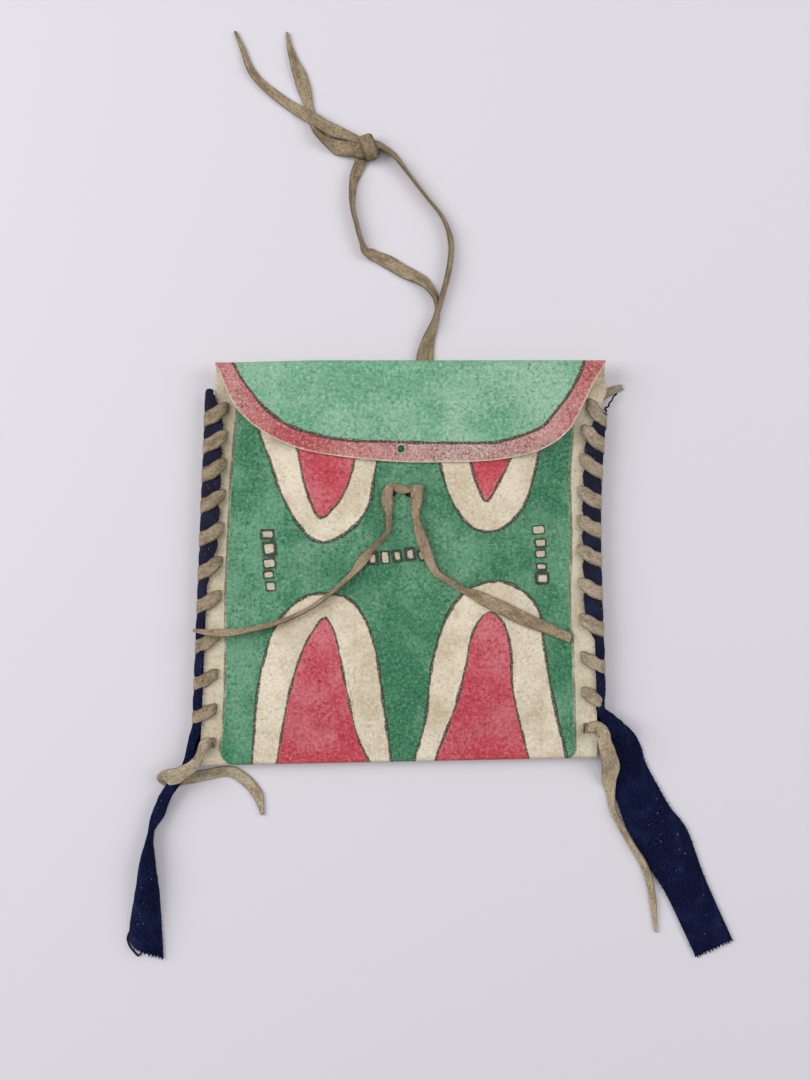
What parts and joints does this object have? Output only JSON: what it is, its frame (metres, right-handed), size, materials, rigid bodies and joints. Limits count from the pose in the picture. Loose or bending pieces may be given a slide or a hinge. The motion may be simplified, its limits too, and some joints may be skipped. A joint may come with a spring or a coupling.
{
  "type": "parfleche envelope",
  "caption": "Flat rawhide pouch folded like an envelope, with a rounded closing flap, wool-bound laced sides, a front tie thong and a knotted hanging thong.",
  "frame": {"origin": "on the outer face of the back panel, about the middle of the pouch between its folds and sides", "axes": "+Z out of the front, +Y up towards the top fold, +X to the right seen from the front"},
  "size_m": [0.255, 0.3894, 0.0121],
  "materials": {
    "rawhide": "stiff cream rawhide, painted on the front",
    "wool": "matte navy wool cloth",
    "buckskin": "soft tan suede"
  },
  "bodies": {
    "pouch": {"rawhide_body": "rawhide", "left_binding": "wool", "right_binding": "wool", "left_lacing": "buckskin", "right_lacing": "buckskin", "left_lacing_tail": "buckskin", "right_lacing_tail": "buckskin", "front_tie": "buckskin", "hanger_loop": "buckskin", "hanger_knot": "buckskin", "hanger_end_a": "buckskin", "hanger_end_b": "buckskin"},
    "flap": {"flap": "rawhide"}
  },
  "joints": [
    {"name": "flap_hinge", "type": "hinge", "parent": "pouch", "child": "flap", "pos_m": [0, 0.0827, 0.00435], "axis": [-1, 0, 0], "range_deg": [0, 160]}
  ]
}
